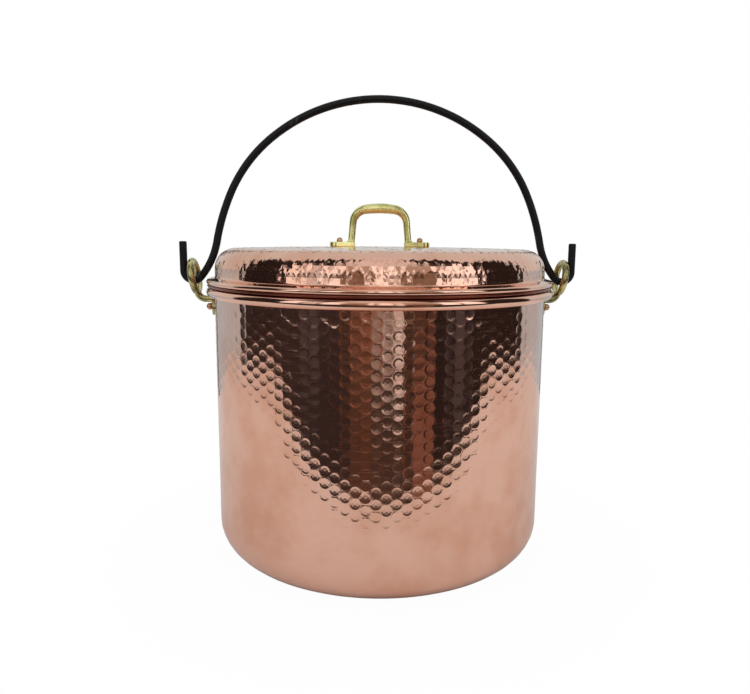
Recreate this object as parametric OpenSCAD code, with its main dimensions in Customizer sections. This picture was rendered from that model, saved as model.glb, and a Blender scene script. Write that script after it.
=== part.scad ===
// Lidded soup kettle: a hammered copper pot with a wired rim, two cast ears with
// rings, a loose lid with a brass handle, and an iron bail hooked through the rings.
// Millimetres. +Z is up, the bail's hooks lie along X, and the origin is the
// middle of the base, on the surface that the kettle stands on.

/* [Pot] */
// Outside diameter of the pot's wall
body_d = 300; // [240:1:380]
// Height of the pot from the base to the top of its rim
body_h = 242; // [180:1:320]
// Thickness of the copper sheet of the pot
body_sheet = 1.5; // [1:0.1:2.5]
// Outside radius of the corner between the base and the wall
body_corner_r = 28; // [12:1:45]

/* [Rolled rim] */
// Diameter of the iron wire that the rim is rolled around
rim_wire_d = 5.5; // [4:0.1:8]
// Opening left between the end of the roll and the wall
roll_slit = 0.4; // [0.2:0.1:0.8]
// Clearance all round a wire inside its roll
wire_fit = 0.05; // [0.03:0.01:0.1]

/* [Lid] */
// Thickness of the copper sheet of the lid
lid_sheet = 1.2; // [0.8:0.1:1.6]
// How far the lid's side stands in from the pot's wall
lid_inset = 0.8; // [0.5:0.1:4]
// Height of the lid's shoulder above its seat
lid_rise = 33.6; // [28:0.2:45]
// Outside radius of the lid's shoulder
lid_shoulder_r = 18; // [10:1:20]
// Rise of the slightly domed top over its edge
lid_crown = 1.7; // [0.5:0.1:6]
// Rise of the sloping flange from the hem to the foot of the side
lid_flange_rise = 1.5; // [0.5:0.1:3]
// How far the hem stands in from the pot's rim
lid_brim_inset = 0.3; // [0.1:0.1:2]
// Diameter of the iron wire in the hem
lid_wire_d = 2; // [1.5:0.1:3]
// Gap between the lid and the rim that it rests on
lid_gap = 0.2; // [0.1:0.05:0.4]

/* [Seat ring] */
// Thickness of the ring under the hem
seat_ring_t = 2.1; // [1.5:0.1:3]
// Width of the ring under the hem
seat_ring_w = 12.5; // [11:0.5:16]
// How far the ring's outer edge stands in from the hem's
seat_ring_inset = 0.6; // [0.2:0.1:2]
// Depth of the step that drops inside the rim
seat_step_d = 1; // [0.6:0.1:1.1]
// Width of that step
seat_step_w = 3; // [2:0.5:5]
// Clearance of the step inside the pot's wall
seat_step_gap = 1.3; // [1.3:0.1:3]

/* [Lid handle] */
// Distance from the middle of the handle to the middle of a leg's foot
handle_foot_x = 26.6; // [22:0.2:34]
// Height of the middle of the grip above the lid
handle_rise = 34.7; // [28:0.2:45]
// Diameter of the handle's bar
handle_d = 6.2; // [5:0.1:8]
// Radius of the corners of the handle, along the middle of the bar
handle_corner_r = 13; // [9:0.5:15]
// Inward lean of the handle's legs, in degrees
handle_lean = 5; // [2:0.5:8]
// Slope of the grip where it meets a corner, in degrees
handle_arch = 8; // [4:0.5:12]
// Length of a foot beyond the middle of its leg
handle_tab_l = 19.4; // [17:0.2:26]
// Width of a foot
handle_tab_w = 12; // [10:0.5:16]
// Thickness of a foot
handle_tab_t = 4.1; // [3:0.1:5]
// Radius of the fillet between a leg and its foot
handle_fillet_r = 4; // [2:0.5:5]

/* [Lid rivets] */
// Distance of a lid rivet from the middle of its leg
lid_rivet_out = 10.4; // [9.5:0.2:13]
// Diameter of a lid rivet's shank
lid_rivet_d = 3.5; // [3:0.1:4.5]
// Diameter of a lid rivet's round head
lid_rivet_head_d = 5.8; // [5:0.1:7]
// Height of a lid rivet's round head above the foot
lid_rivet_proud = 4.3; // [3.5:0.1:5]
// Diameter of a lid rivet's flat head, inside the lid
lid_rivet_tail_d = 9; // [7:0.5:12]

/* [Ears] */
// Width of the ear's plate
ear_plate_w = 35; // [30:1:45]
// Height of the ear's plate
ear_plate_h = 15.6; // [12:0.2:20]
// Thickness of the ear's plate
ear_plate_t = 3; // [2:0.1:4]
// Gap between the rim's roll and the top of the plate
ear_plate_gap = 2.9; // [1:0.1:6]
// Diameter of the ear's stem and ring strand
ear_strand_d = 5.8; // [5:0.1:7]
// Depth of the stem's middle below the top of the plate
ear_stem_drop = 1.8; // [1:0.1:4]
// Length of the straight stem from the pot's wall to its bend
ear_stem_l = 10.6; // [9:0.2:16]
// Radius of the stem's bend, along its middle
ear_bend_r = 8; // [6:0.5:12]
// Outward lean of the ring, in degrees
ear_lean = 8; // [0:0.5:12]
// Radius of the ring, along the middle of its strand
ear_ring_r = 14; // [13:0.2:18]

/* [Ear rivets] */
// Distance between the two rivets of an ear
ear_rivet_span = 20; // [17:0.5:24]
// Diameter of an ear rivet's shank
ear_rivet_d = 5; // [4:0.1:6]
// Diameter of an ear rivet's round head
ear_rivet_head_d = 6.6; // [6.2:0.1:8]
// Height of an ear rivet's round head above the plate
ear_rivet_proud = 5.8; // [4.5:0.1:7]
// Diameter of an ear rivet's flat head, inside the pot
ear_rivet_tail_d = 10; // [8:0.5:14]
// Thickness of the flat heads of all rivets
rivet_tail_t = 1.2; // [0.8:0.1:2]
// Clearance of a rivet's shank, and under its heads
rivet_fit = 0.05; // [0.03:0.01:0.1]

/* [Bail] */
// Diameter of the bail's bar
bail_d = 7; // [6:0.1:8]
// Height of the crest above the hooks, along the middle of the bar
bail_rise = 162.4; // [150:0.2:185]
// Radius of a hook, along the middle of the bar
hook_r = 8.8; // [8:0.1:11]
// Gap between a hook's free end and the ring that it hangs in
hook_gap = 1.5; // [1:0.1:3]
// Depth of the hooks' middle below the middle of the rings
hook_drop = 3.6; // [2:0.1:4]
// Length of a hook's straight end
hook_tail = 26.9; // [15:0.1:35]
// Height above the lid's shoulder at which a leg turns outwards
leg_turn = 5.7; // [5.2:0.1:10]
// Radius of the upper part of a leg, along the middle of the bar
leg_r = 200; // [150:1:260]

/* [Hidden] */

COPPER = "#c88262";
BRASS = "#b9983f";
IRON = "#202022";
WIRE = "#6f6b66";
RING_FN = 180;
BAR_FN = 48;
// A bar bent to several arcs has a ball at each joint, a hair wider than the bar,
// and the arcs stop a little short of each other inside it.
JOINT_PROUD = 0.03;
JOINT_GAP = 0.1;

// Pot and rolled rim
body_r = body_d / 2;
inner_r = body_r - body_sheet;
roll_inner_r = rim_wire_d / 2 + wire_fit;
roll_r = roll_inner_r + body_sheet;
roll_x = inner_r + roll_r;
roll_z = body_h - roll_r;
rim_r = roll_x + roll_r;

// Lid
seat_z = body_h + lid_gap;
lid_r = body_r - lid_inset;
lid_top = seat_z + lid_rise;
flat_r = lid_r - lid_shoulder_r;
hem_inner_r = lid_wire_d / 2 + wire_fit;
hem_r = hem_inner_r + lid_sheet;
brim_r = rim_r - lid_brim_inset;
hem_x = brim_r - hem_r;
hem_z = seat_z + seat_ring_t + wire_fit + hem_r;
flange_z = hem_z + hem_r + lid_flange_rise;
HEM_LAP = 0.5;
HEM_SINK = 0.1;
CROWN_STEPS = 8;
SHOULDER_STEPS = 16;
function crown_z(r) = lid_top + lid_crown * (1 - pow(r / flat_r, 2));

// Lid handle
handle_z = crown_z(handle_foot_x - handle_d / 2) + rivet_fit;
tab_top = handle_z + handle_tab_t;
tab_end_r = handle_tab_w / 2;
handle_corner_dx = handle_corner_r * (cos(handle_lean) - sin(handle_arch));
handle_corner_dz = handle_corner_r * (cos(handle_arch) - sin(handle_lean));
handle_k = tan(handle_arch / 2);
handle_leg_l = (handle_rise - handle_corner_dz - handle_k * (handle_foot_x - handle_corner_dx))
    / (cos(handle_lean) - handle_k * sin(handle_lean));
handle_top_x = handle_foot_x - handle_leg_l * sin(handle_lean) - handle_corner_dx;
handle_arch_r = handle_top_x / sin(handle_arch);
HANDLE_HEEL = 0.5;
// The fillet's root in the foot, how far its ends sink into the leg and the foot,
// and its share of the bar's width
FILLET_ROOT = 1;
FILLET_SINK_X = 1.4;
FILLET_SINK_Z = 0.15;
FILLET_SHARE = 0.8;
handle_arch_z = handle_z + handle_rise - handle_arch_r;
handle_leg_top = [handle_foot_x - handle_leg_l * sin(handle_lean),
    handle_z + handle_leg_l * cos(handle_lean)];
handle_corner_top = [handle_top_x, handle_arch_z + handle_arch_r * cos(handle_arch)];

// Lid rivets
lid_rivet_x = handle_foot_x + lid_rivet_out;
lid_rivet_z = crown_z(lid_rivet_x + lid_rivet_tail_d / 2) - lid_sheet - rivet_fit;

// Ears
ear_top = roll_z - roll_r - ear_plate_gap;
ear_mid_z = ear_top - ear_plate_h / 2;
ear_face_r = body_r + rivet_fit + ear_plate_t;
stem_z = ear_top - ear_stem_drop;
stem_x = body_r + ear_stem_l;
stem_turn = 90 - ear_lean;
bend_end_x = stem_x + ear_bend_r * sin(stem_turn);
bend_end_z = stem_z + ear_bend_r * (1 - cos(stem_turn));
ring_x = bend_end_x + ear_ring_r * sin(ear_lean);
ring_z = bend_end_z + ear_ring_r * cos(ear_lean);
ring_top_x = ring_x + ear_ring_r * sin(ear_lean);
STEM_FLARE_R = ear_strand_d / 2 + 1.6;
STEM_FLARE_L = 3;

// Ear rivets
ear_rivet_turn = asin(ear_rivet_span / 2 / ear_face_r);
ear_rivet_tail_x = sqrt(pow(inner_r, 2) - pow(ear_rivet_tail_d / 2, 2)) - rivet_fit;

// Bail: the bar is a chain of arcs. A heading is its slope below the level, in
// degrees. The radii of the crest and the shoulder close the chain on the hooks.
bail_r = bail_d / 2;
pivot_x = ring_top_x + ear_strand_d / 2 + hook_gap + bail_r - hook_r;
pivot_z = ring_z - hook_drop;
crest_z = pivot_z + bail_rise;
CREST_END = 40;
SHOULDER_END = 66;
LEG_END = 79;
HOOK_START = 50;
turn_r = (lid_top + leg_turn - pivot_z - hook_r * (1 - cos(HOOK_START)))
    / (cos(HOOK_START) - cos(LEG_END));
left_x = pivot_x - leg_r * (sin(LEG_END) - sin(SHOULDER_END))
    - turn_r * (sin(LEG_END) - sin(HOOK_START)) - hook_r * sin(HOOK_START);
left_z = bail_rise - leg_r * (cos(SHOULDER_END) - cos(LEG_END))
    - turn_r * (cos(HOOK_START) - cos(LEG_END)) - hook_r * (1 - cos(HOOK_START));
span_x = sin(SHOULDER_END) - sin(CREST_END);
span_z = cos(CREST_END) - cos(SHOULDER_END);
span_det = sin(CREST_END) * span_z - (1 - cos(CREST_END)) * span_x;
crest_r = (left_x * span_z - left_z * span_x) / span_det;
shoulder_r = (sin(CREST_END) * left_z - (1 - cos(CREST_END)) * left_x) / span_det;
TIP_EDGE = 1.4;

// Where the bar is after an arc that bends it down from one heading to another
function bent_down(p, r, from, to) =
    [p[0] + r * (sin(to) - sin(from)), p[1] + r * (cos(to) - cos(from))];
crest_end = bent_down([0, crest_z], crest_r, 0, CREST_END);
shoulder_end = bent_down(crest_end, shoulder_r, CREST_END, SHOULDER_END);
leg_end = bent_down(shoulder_end, leg_r, SHOULDER_END, LEG_END);
turn_centre = leg_end + turn_r * [sin(LEG_END), cos(LEG_END)];
turn_end = turn_centre - turn_r * [sin(HOOK_START), cos(HOOK_START)];
hook_centre = [pivot_x, pivot_z + hook_r];
tail_start = hook_centre + [hook_r, 0];

// A polygon's points along an arc in the plane
function arc_points(centre, r, from, to, steps) =
    [for (i = [0:steps]) let (a = from + (to - from) * i / steps)
        centre + r * [cos(a), sin(a)]];

// A round bar bent to an arc in the XZ plane; angles run from +X towards +Z
module bent_bar(centre, r, bar_r, start, sweep) {
    trim = asin(JOINT_GAP / r);
    translate([centre[0], 0, centre[1]])
        rotate([90, 0, 0])
            rotate_extrude(angle = sweep - 2 * trim, start = start + trim, $fn = RING_FN)
                translate([r, 0]) circle(bar_r, $fn = BAR_FN);
}

// The ball that joins two stretches of bar at a point in the XZ plane. Its poles lie
// along the bar, which leans by tilt from upright towards +X.
module joint(p, bar_r, tilt) {
    translate([p[0], 0, p[1]]) rotate([0, tilt, 0])
        sphere(bar_r + JOINT_PROUD, $fn = BAR_FN);
}

// A stretch of the bar that starts at p and bends down from one heading to another
module bar_down(p, r, from, to) {
    bent_bar([p[0] - r * sin(from), p[1] - r * cos(from)], r, bail_r, 90 - to, to - from);
}

// A rivet along +Z. Its flat head is below z = 0, and it grips up to z = grip.
module rivet(shank_d, grip, head_d, proud, tail_d) {
    head_r = head_d / 2;
    ball_z = grip + proud - head_r;
    translate([0, 0, -rivet_tail_t]) cylinder(d = tail_d, h = rivet_tail_t, $fn = BAR_FN);
    cylinder(d = shank_d, h = ball_z, $fn = BAR_FN);
    difference() {
        union() {
            translate([0, 0, ball_z]) sphere(head_r, $fn = BAR_FN);
            translate([0, 0, grip]) cylinder(r = head_r * 0.8, h = ball_z - grip, $fn = BAR_FN);
        }
        translate([0, 0, grip - head_d]) cylinder(r = head_d, h = head_d, $fn = BAR_FN);
    }
}

// Half the outline of a pot with a flat base and a rounded corner
module pot_outline(r, h, corner_r) {
    square([r - corner_r, h]);
    translate([0, corner_r]) square([r, h - corner_r]);
    translate([r - corner_r, corner_r]) circle(corner_r, $fn = RING_FN);
}

// The holes for one ear's rivets, along the rivets' own axes
module ear_rivet_holes() {
    for (side = [-1, 1])
        rotate([0, 0, side * ear_rivet_turn])
            translate([inner_r - body_sheet, 0, ear_mid_z])
                rotate([0, 90, 0])
                    cylinder(d = ear_rivet_d + 2 * rivet_fit, h = ear_plate_t + 3 * body_sheet,
                        $fn = BAR_FN);
}

module kettle_body() {
    color(COPPER) difference() {
        rotate_extrude($fn = RING_FN) {
            difference() {
                pot_outline(body_r, roll_z, body_corner_r);
                translate([0, body_sheet])
                    pot_outline(inner_r, body_h, body_corner_r - body_sheet);
            }
            difference() {
                translate([roll_x, roll_z]) circle(roll_r, $fn = BAR_FN);
                translate([roll_x, roll_z]) circle(roll_inner_r, $fn = BAR_FN);
                translate([body_r, roll_z - roll_r]) square([roll_slit, roll_r]);
                translate([0, roll_z - roll_r]) square([inner_r + body_sheet / 2, roll_r]);
            }
        }
        ear_rivet_holes();
        mirror([1, 0, 0]) ear_rivet_holes();
    }
}

module rim_wire() {
    color(WIRE) rotate_extrude($fn = RING_FN)
        translate([roll_x, roll_z]) circle(d = rim_wire_d, $fn = BAR_FN);
}

// The plate bent to the pot's wall, with round ends, drilled for its rivets
module ear_plate() {
    difference() {
        intersection() {
            difference() {
                cylinder(r = ear_face_r, h = body_h, $fn = RING_FN);
                translate([0, 0, -1]) cylinder(r = body_r + rivet_fit, h = body_h + 2, $fn = RING_FN);
            }
            translate([body_r / 2, 0, ear_mid_z]) rotate([90, 0, 90])
                linear_extrude(body_r)
                    union() {
                        square([ear_plate_w - ear_plate_h, ear_plate_h], center = true);
                        for (side = [-1, 1])
                            translate([side * (ear_plate_w - ear_plate_h) / 2, 0])
                                circle(d = ear_plate_h, $fn = BAR_FN);
                    }
        }
        ear_rivet_holes();
    }
}

// The ear on the +X side: plate, stem with a flared root, bend and ring
module ear() {
    color(BRASS) {
        ear_plate();
        translate([ear_face_r - ear_plate_t / 2, 0, stem_z]) rotate([0, 90, 0]) {
            cylinder(d = ear_strand_d, h = stem_x - JOINT_GAP - ear_face_r + ear_plate_t / 2,
                $fn = BAR_FN);
            cylinder(r1 = STEM_FLARE_R, r2 = ear_strand_d / 2, h = STEM_FLARE_L, $fn = BAR_FN);
        }
        joint([stem_x, stem_z], ear_strand_d / 2, 90);
        bent_bar([stem_x, stem_z + ear_bend_r], ear_bend_r, ear_strand_d / 2, 270, stem_turn);
        joint([bend_end_x, bend_end_z], ear_strand_d / 2, ear_lean);
        translate([ring_x, 0, ring_z]) rotate([0, 90 + ear_lean, 0])
            rotate_extrude($fn = RING_FN)
                translate([ear_ring_r, 0]) circle(d = ear_strand_d, $fn = BAR_FN);
    }
}

module ear_left() {
    mirror([1, 0, 0]) ear();
}

module ear_right() {
    ear();
}

// One of the +X ear's rivets: side -1 is the front one and 1 is the rear one
module ear_rivet(side) {
    color(COPPER) rotate([0, 0, side * ear_rivet_turn])
        translate([ear_rivet_tail_x, 0, ear_mid_z])
            rotate([0, 90, 0])
                rivet(ear_rivet_d, ear_face_r + rivet_fit - ear_rivet_tail_x,
                    ear_rivet_head_d, ear_rivet_proud, ear_rivet_tail_d);
}

module ear_rivet_left_front() {
    mirror([1, 0, 0]) ear_rivet(-1);
}

module ear_rivet_left_rear() {
    mirror([1, 0, 0]) ear_rivet(1);
}

module ear_rivet_right_front() {
    ear_rivet(-1);
}

module ear_rivet_right_rear() {
    ear_rivet(1);
}

// The sheet of the lid from its middle to the top of its hem
module lid_sheet_outline() {
    shoulder = [flat_r, lid_top - lid_shoulder_r];
    inner = concat(
        [for (i = [0:CROWN_STEPS - 1]) let (r = flat_r * i / CROWN_STEPS)
            [r, crown_z(r) - lid_sheet]],
        arc_points(shoulder, lid_shoulder_r - lid_sheet, 90, 0, SHOULDER_STEPS),
        [[lid_r - lid_sheet, flange_z - lid_sheet], [hem_x, hem_z + hem_inner_r + HEM_SINK]]);
    outer = concat(
        [[hem_x, hem_z + hem_r - HEM_SINK], [lid_r, flange_z]],
        arc_points(shoulder, lid_shoulder_r, 0, 90, SHOULDER_STEPS),
        [for (i = [CROWN_STEPS - 1:-1:0]) let (r = flat_r * i / CROWN_STEPS) [r, crown_z(r)]]);
    polygon(concat(inner, outer));
}

module lid() {
    color(COPPER) difference() {
        rotate_extrude($fn = RING_FN) {
            lid_sheet_outline();
            difference() {
                translate([hem_x, hem_z]) circle(hem_r, $fn = BAR_FN);
                translate([hem_x, hem_z]) circle(hem_inner_r, $fn = BAR_FN);
                translate([hem_x - hem_r - HEM_LAP, hem_z]) square([hem_r, hem_r]);
            }
        }
        for (side = [-1, 1])
            translate([side * lid_rivet_x, 0, lid_top - lid_shoulder_r])
                cylinder(d = lid_rivet_d + 2 * rivet_fit, h = 2 * lid_shoulder_r, $fn = BAR_FN);
    }
}

module lid_rim_wire() {
    color(WIRE) rotate_extrude($fn = RING_FN)
        translate([hem_x, hem_z]) circle(d = lid_wire_d, $fn = BAR_FN);
}

module lid_seat_ring() {
    edge_r = seat_ring_t / 2;
    ring_out = brim_r - seat_ring_inset;
    step_out = inner_r - seat_step_gap;
    color(COPPER) rotate_extrude($fn = RING_FN) {
        translate([ring_out - seat_ring_w, seat_z])
            square([seat_ring_w - edge_r, seat_ring_t]);
        translate([ring_out - edge_r, seat_z + edge_r]) circle(edge_r, $fn = BAR_FN);
        translate([step_out - seat_step_w, seat_z - seat_step_d])
            square([seat_step_w, seat_step_d + edge_r]);
    }
}

// The handle's foot, fillet, leg and corner on the +X side
module handle_half() {
    bar_r = handle_d / 2;
    foot_in = handle_foot_x - bar_r - HANDLE_HEEL;
    fillet_w = bar_r + handle_fillet_r - FILLET_SINK_X;
    translate([0, 0, handle_z]) linear_extrude(handle_tab_t)
        difference() {
            union() {
                translate([foot_in, -tab_end_r])
                    square([handle_foot_x + handle_tab_l - tab_end_r - foot_in, handle_tab_w]);
                translate([handle_foot_x + handle_tab_l - tab_end_r, 0])
                    circle(tab_end_r, $fn = BAR_FN);
            }
            translate([lid_rivet_x, 0]) circle(d = lid_rivet_d + 2 * rivet_fit, $fn = BAR_FN);
        }
    translate([handle_foot_x, 0, handle_z]) rotate([0, -handle_lean, 0])
        translate([0, 0, handle_tab_t / 2])
            cylinder(d = handle_d, h = handle_leg_l - JOINT_GAP - handle_tab_t / 2, $fn = BAR_FN);
    translate([handle_foot_x, bar_r * FILLET_SHARE, tab_top - FILLET_ROOT]) rotate([90, 0, 0])
        linear_extrude(handle_d * FILLET_SHARE) difference() {
            square([fillet_w, FILLET_ROOT + handle_fillet_r]);
            translate([fillet_w, FILLET_ROOT - FILLET_SINK_Z + handle_fillet_r])
                circle(handle_fillet_r, $fn = BAR_FN);
        }
    joint(handle_leg_top, bar_r, -handle_lean);
    bent_bar(handle_leg_top - handle_corner_r * [cos(handle_lean), sin(handle_lean)],
        handle_corner_r, bar_r, handle_lean, 90 - handle_arch - handle_lean);
    joint(handle_corner_top, bar_r, handle_arch - 90);
}

module lid_handle() {
    color(BRASS) {
        bent_bar([0, handle_arch_z], handle_arch_r, handle_d / 2, 90 - handle_arch, 2 * handle_arch);
        handle_half();
        mirror([1, 0, 0]) handle_half();
    }
}

module lid_rivet(side) {
    color(COPPER) translate([side * lid_rivet_x, 0, lid_rivet_z])
        rivet(lid_rivet_d, tab_top + rivet_fit - lid_rivet_z,
            lid_rivet_head_d, lid_rivet_proud, lid_rivet_tail_d);
}

module lid_rivet_left() {
    lid_rivet(-1);
}

module lid_rivet_right() {
    lid_rivet(1);
}

// The bar from the end of the crest's arc, down one leg and up its hook's free end
module bail_leg() {
    bar_down(crest_end, shoulder_r, CREST_END, SHOULDER_END);
    bar_down(shoulder_end, leg_r, SHOULDER_END, LEG_END);
    bent_bar(turn_centre, turn_r, bail_r, 270 - LEG_END, LEG_END - HOOK_START);
    bent_bar(hook_centre, hook_r, bail_r, 270 - HOOK_START, 90 + HOOK_START);
    joint(crest_end, bail_r, CREST_END - 90);
    joint(shoulder_end, bail_r, SHOULDER_END - 90);
    joint(leg_end, bail_r, LEG_END - 90);
    joint(turn_end, bail_r, HOOK_START - 90);
    joint(tail_start, bail_r, 0);
    translate([tail_start[0], 0, tail_start[1] + JOINT_GAP])
        rotate_extrude($fn = BAR_FN) {
            square([bail_r, hook_tail - TIP_EDGE]);
            square([bail_r - TIP_EDGE, hook_tail]);
            translate([bail_r - TIP_EDGE, hook_tail - TIP_EDGE]) circle(TIP_EDGE, $fn = BAR_FN);
        }
}

module bail() {
    color(IRON) {
        bent_bar([0, crest_z - crest_r], crest_r, bail_r, 90 - CREST_END, 2 * CREST_END);
        bail_leg();
        mirror([1, 0, 0]) bail_leg();
    }
}

kettle_body();
rim_wire();
ear_left();
ear_right();
ear_rivet_left_front();
ear_rivet_left_rear();
ear_rivet_right_front();
ear_rivet_right_rear();
lid();
lid_rim_wire();
lid_seat_ring();
lid_handle();
lid_rivet_left();
lid_rivet_right();
bail();
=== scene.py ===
# %% [markdown]
# # A hammered copper soup kettle
#
# A deep copper pot with a wired rim, a lid that rests on that rim, and a black iron
# bail hooked through two cast brass ears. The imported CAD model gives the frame: where
# every piece is, how big it is and how it moves. This lesson puts the maker's hand on
# it: hammer marks, rolled edges, castings, rivets and the finish of each metal.

# %% Load the frame
import bmesh
import bpy
import math
import numpy as np
from mathutils import Matrix, Vector
from mathutils.geometry import delaunay_2d_cdt


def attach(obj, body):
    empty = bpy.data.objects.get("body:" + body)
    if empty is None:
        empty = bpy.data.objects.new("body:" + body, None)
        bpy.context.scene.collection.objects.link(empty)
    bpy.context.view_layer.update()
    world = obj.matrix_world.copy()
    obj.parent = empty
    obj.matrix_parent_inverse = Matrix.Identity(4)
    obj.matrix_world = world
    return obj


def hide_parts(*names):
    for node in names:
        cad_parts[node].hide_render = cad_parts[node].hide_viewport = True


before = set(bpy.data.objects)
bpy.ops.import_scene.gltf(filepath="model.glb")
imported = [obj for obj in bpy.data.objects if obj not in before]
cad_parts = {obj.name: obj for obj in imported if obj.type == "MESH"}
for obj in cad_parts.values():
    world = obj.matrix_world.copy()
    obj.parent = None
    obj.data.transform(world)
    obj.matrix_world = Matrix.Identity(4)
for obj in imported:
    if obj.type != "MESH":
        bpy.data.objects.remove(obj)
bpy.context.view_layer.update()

# %% [markdown]
# ## Sizes
#
# All lengths here are millimetres, as on a workshop drawing, and `MM` turns them into
# Blender's metres when a mesh is made. They repeat the CAD's own sizes, so each new
# piece lands exactly where the node that it stands for was.

# %% Sizes of the sheet metal
MM = 0.001
POT_R, POT_SHEET, CORNER_R = 150.0, 1.5, 28.0
ROLL_X, ROLL_Z, ROLL_R = 152.8, 237.7, 4.25
LID_R, LID_SHEET, SHOULDER_R = 149.2, 1.2, 18.0
LID_TOP, LID_CROWN = 275.8, 1.7
HEM_X, HEM_Z, HEM_R = 154.55, 246.6, 2.25
FLAT_R = LID_R - SHOULDER_R

# %% [markdown]
# ## Two small helpers for nodes
#
# Geometry and shader trees are both written as Python. `Net.add` makes any node: its
# settings first, then the values or links of its sockets. `Value` wraps one number that
# comes out of a node, and arithmetic on it adds the Math nodes, so a formula reads as
# a formula.


# %% A number that comes out of a node
class Value:
    """One number from a node. Arithmetic on it adds Math nodes."""

    def __init__(self, net, socket):
        self.net, self.socket = net, socket

    def math(self, operation, *terms):
        node = self.net.add("ShaderNodeMath", {"operation": operation}, dict(enumerate(terms)))
        return Value(self.net, node.outputs[0])

    def __add__(self, other):
        return self.math("ADD", self, other)

    def __sub__(self, other):
        return self.math("SUBTRACT", self, other)

    def __rsub__(self, other):
        return self.math("SUBTRACT", other, self)

    def __mul__(self, other):
        return self.math("MULTIPLY", self, other)

    def __truediv__(self, other):
        return self.math("DIVIDE", self, other)

    def __pow__(self, other):
        return self.math("POWER", self, other)

    __radd__, __rmul__ = __add__, __mul__

    def most(self, other):
        """The larger of the two."""
        return self.math("MAXIMUM", self, other)

    def over(self, other):
        """1 where this is more than the other, and 0 elsewhere."""
        return self.math("GREATER_THAN", self, other)

    def size(self):
        return self.math("ABSOLUTE", self)


# %% A tree that makes every node
class Net:
    """A node tree, with one method that makes every node in it."""

    def __init__(self, tree):
        self.tree = tree

    def add(self, kind, settings=None, sockets=None):
        node = self.tree.nodes.new(kind)
        for key, value in (settings or {}).items():
            setattr(node, key, value)
        for key, value in (sockets or {}).items():
            self.plug(value, node.inputs[key])
        return node

    def plug(self, value, socket):
        if isinstance(value, Value):
            value = value.socket
        if isinstance(value, bpy.types.NodeSocket):
            self.tree.links.new(value, socket)
        else:
            socket.default_value = value

    def value(self, node, output=0):
        return Value(self, node.outputs[output])

    def parts(self, point):
        """The x, y and z of a vector."""
        split = self.add("ShaderNodeSeparateXYZ", None, {0: point})
        return [self.value(split, i) for i in range(3)]

    def vector(self, operation, first, second):
        """Vector Math on two vectors, or for SCALE on a vector and a number."""
        socket = "Scale" if operation == "SCALE" else 1
        return self.add("ShaderNodeVectorMath", {"operation": operation},
                        {0: first, socket: second}).outputs["Vector"]

    def step(self, value, low, high):
        """0 below low, 1 above high and a smooth rise between them."""
        return self.value(self.add(
            "ShaderNodeMapRange", {"interpolation_type": "SMOOTHSTEP"},
            {"Value": value, "From Min": low, "From Max": high}))

    def band(self, value, low, high, soft):
        """1 between low and high, with soft edges."""
        rise = self.step(value, low - soft, low + soft)
        return rise - self.step(value, high - soft, high + soft)

    def colour(self, share, first, second):
        """The first colour where share is 0 and the second where it is 1."""
        return self.add("ShaderNodeMix", {"data_type": "RGBA"},
                        {0: share, 6: first, 7: second}).outputs[2]

    def noise(self, point, scale, detail=2.0, stretch=(1, 1, 1)):
        """Noise with about scale waves a metre, and more along an axis that is stretched."""
        return self.value(self.add(
            "ShaderNodeTexNoise", None,
            {"Vector": self.vector("MULTIPLY", point, stretch), "Scale": scale,
             "Detail": detail}))


# %% [markdown]
# ## Finishes
#
# Every finish is a Principled shader with its colour, roughness and a fine bump driven
# by noise on Object coordinates. The copper is a mirror that has been hammered, wiped
# and handled: its relief comes from the mesh, so the shader only adds the polishing
# lines, the faint cloudiness of a hand-rubbed surface and a little uneven tarnish.


# %% A finish and its shader
def finish_of(name, **constants):
    """A material, its net, its Principled shader and the Object coordinates."""
    material = bpy.data.materials.new(name)
    material.use_nodes = True
    net = Net(material.node_tree)
    shader = material.node_tree.nodes["Principled BSDF"]
    for socket, value in constants.items():
        shader.inputs[socket.replace("_", " ")].default_value = value
    point = net.add("ShaderNodeTexCoord").outputs["Object"]
    return material, net, shader, point


def relief(net, shader, height, depth_mm):
    """Bumps the shader's normal by a height field that is depth_mm from 0 to 1."""
    bump = net.add("ShaderNodeBump", None,
                   {"Strength": 1.0, "Distance": depth_mm * MM, "Height": height})
    net.plug(bump.outputs[0], shader.inputs["Normal"])


# %% Copper
def copper(name, clean, tarnished, rough, lines_mm=0.006):
    material, net, shader, point = finish_of(name, Metallic=1.0)
    cloud = net.noise(point, 14, 3)
    patch = net.noise(point, 45, 4)
    tarnish = net.step(cloud * 0.6 + patch * 0.4, 0.42, 0.68)
    net.plug(net.colour(tarnish, clean, tarnished), shader.inputs["Base Color"])
    smear = net.noise(point, 260, 3, (1, 1, 2.5))
    scratch = net.step(net.noise(point, 1, 3, (22, 22, 1100)), 0.58, 0.72)
    rubbed = rough * (0.75 + 0.5 * smear) + 0.04 * tarnish + 0.08 * scratch
    net.plug(rubbed, shader.inputs["Roughness"])
    lathe_lines = net.noise(point, 1, 2, (9, 9, 1300))
    grain = net.noise(point, 900, 2)
    relief(net, shader, lathe_lines * 0.7 + grain * 0.3, lines_mm)
    return material


POLISHED_COPPER = copper("polished copper", (0.90, 0.54, 0.41, 1), (0.80, 0.42, 0.29, 1), 0.085)
RIVET_COPPER = copper("rivet copper", (0.74, 0.44, 0.29, 1), (0.48, 0.25, 0.15, 1), 0.17)
# Painted shade: the seat ring's dull copper is darkened to stand for the shade in the crevice
# under the lid's edge.
DULL_COPPER_PAINTED_SHADE = copper("dull copper with painted crevice shade", (0.26, 0.078, 0.048, 1), (0.17, 0.05, 0.03, 1), 0.3)
print("copper finishes ready")


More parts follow.
